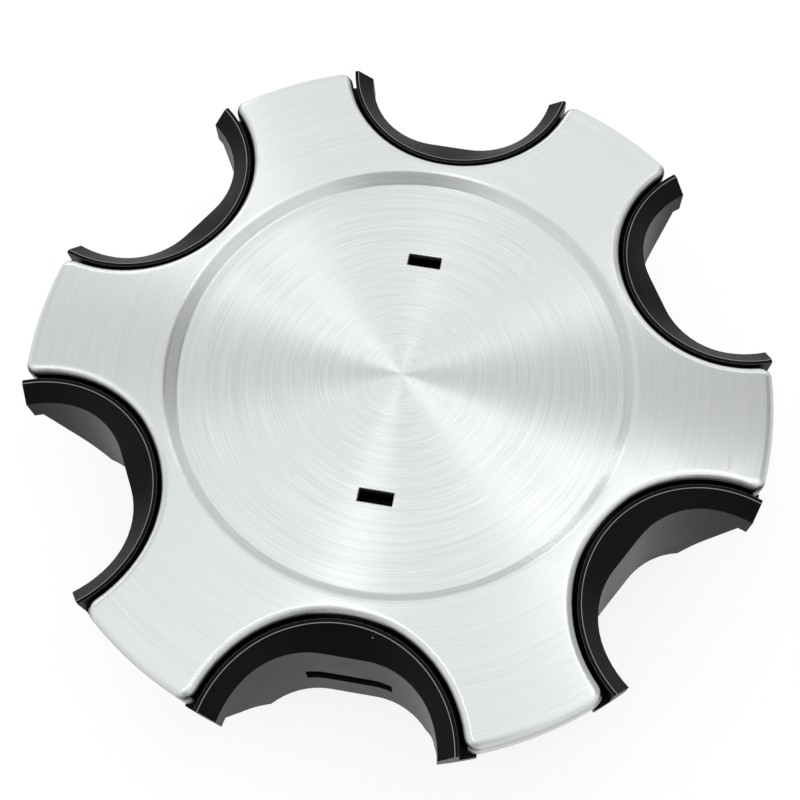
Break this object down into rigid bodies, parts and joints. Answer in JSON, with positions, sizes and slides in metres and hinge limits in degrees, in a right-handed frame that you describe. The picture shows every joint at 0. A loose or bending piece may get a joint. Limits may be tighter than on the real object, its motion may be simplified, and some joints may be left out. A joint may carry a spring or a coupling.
{
  "type": "wheel center cap",
  "caption": "Star-shaped center cap for a lug-nut wheel: brushed metal face plate with round notches over a black moulded body with snap legs behind.",
  "frame": {"origin": "on the cap's axis, at the level of the snap legs' tips, on which it stands", "axes": "+Z along the axis, out of the wheel; +Y towards a lug notch, and the pry slot is in the notch towards -Y"},
  "size_m": [0.139, 0.1346, 0.0428],
  "materials": {
    "brushed_aluminium": "fine concentric brushing under clear coat",
    "black_moulding": "satin moulded black",
    "spring_wire": "drawn spring wire"
  },
  "bodies": {
    "root": {"face_plate": "brushed_aluminium", "cap_body": "black_moulding", "spring_ring": "spring_wire"}
  },
  "joints": []
}
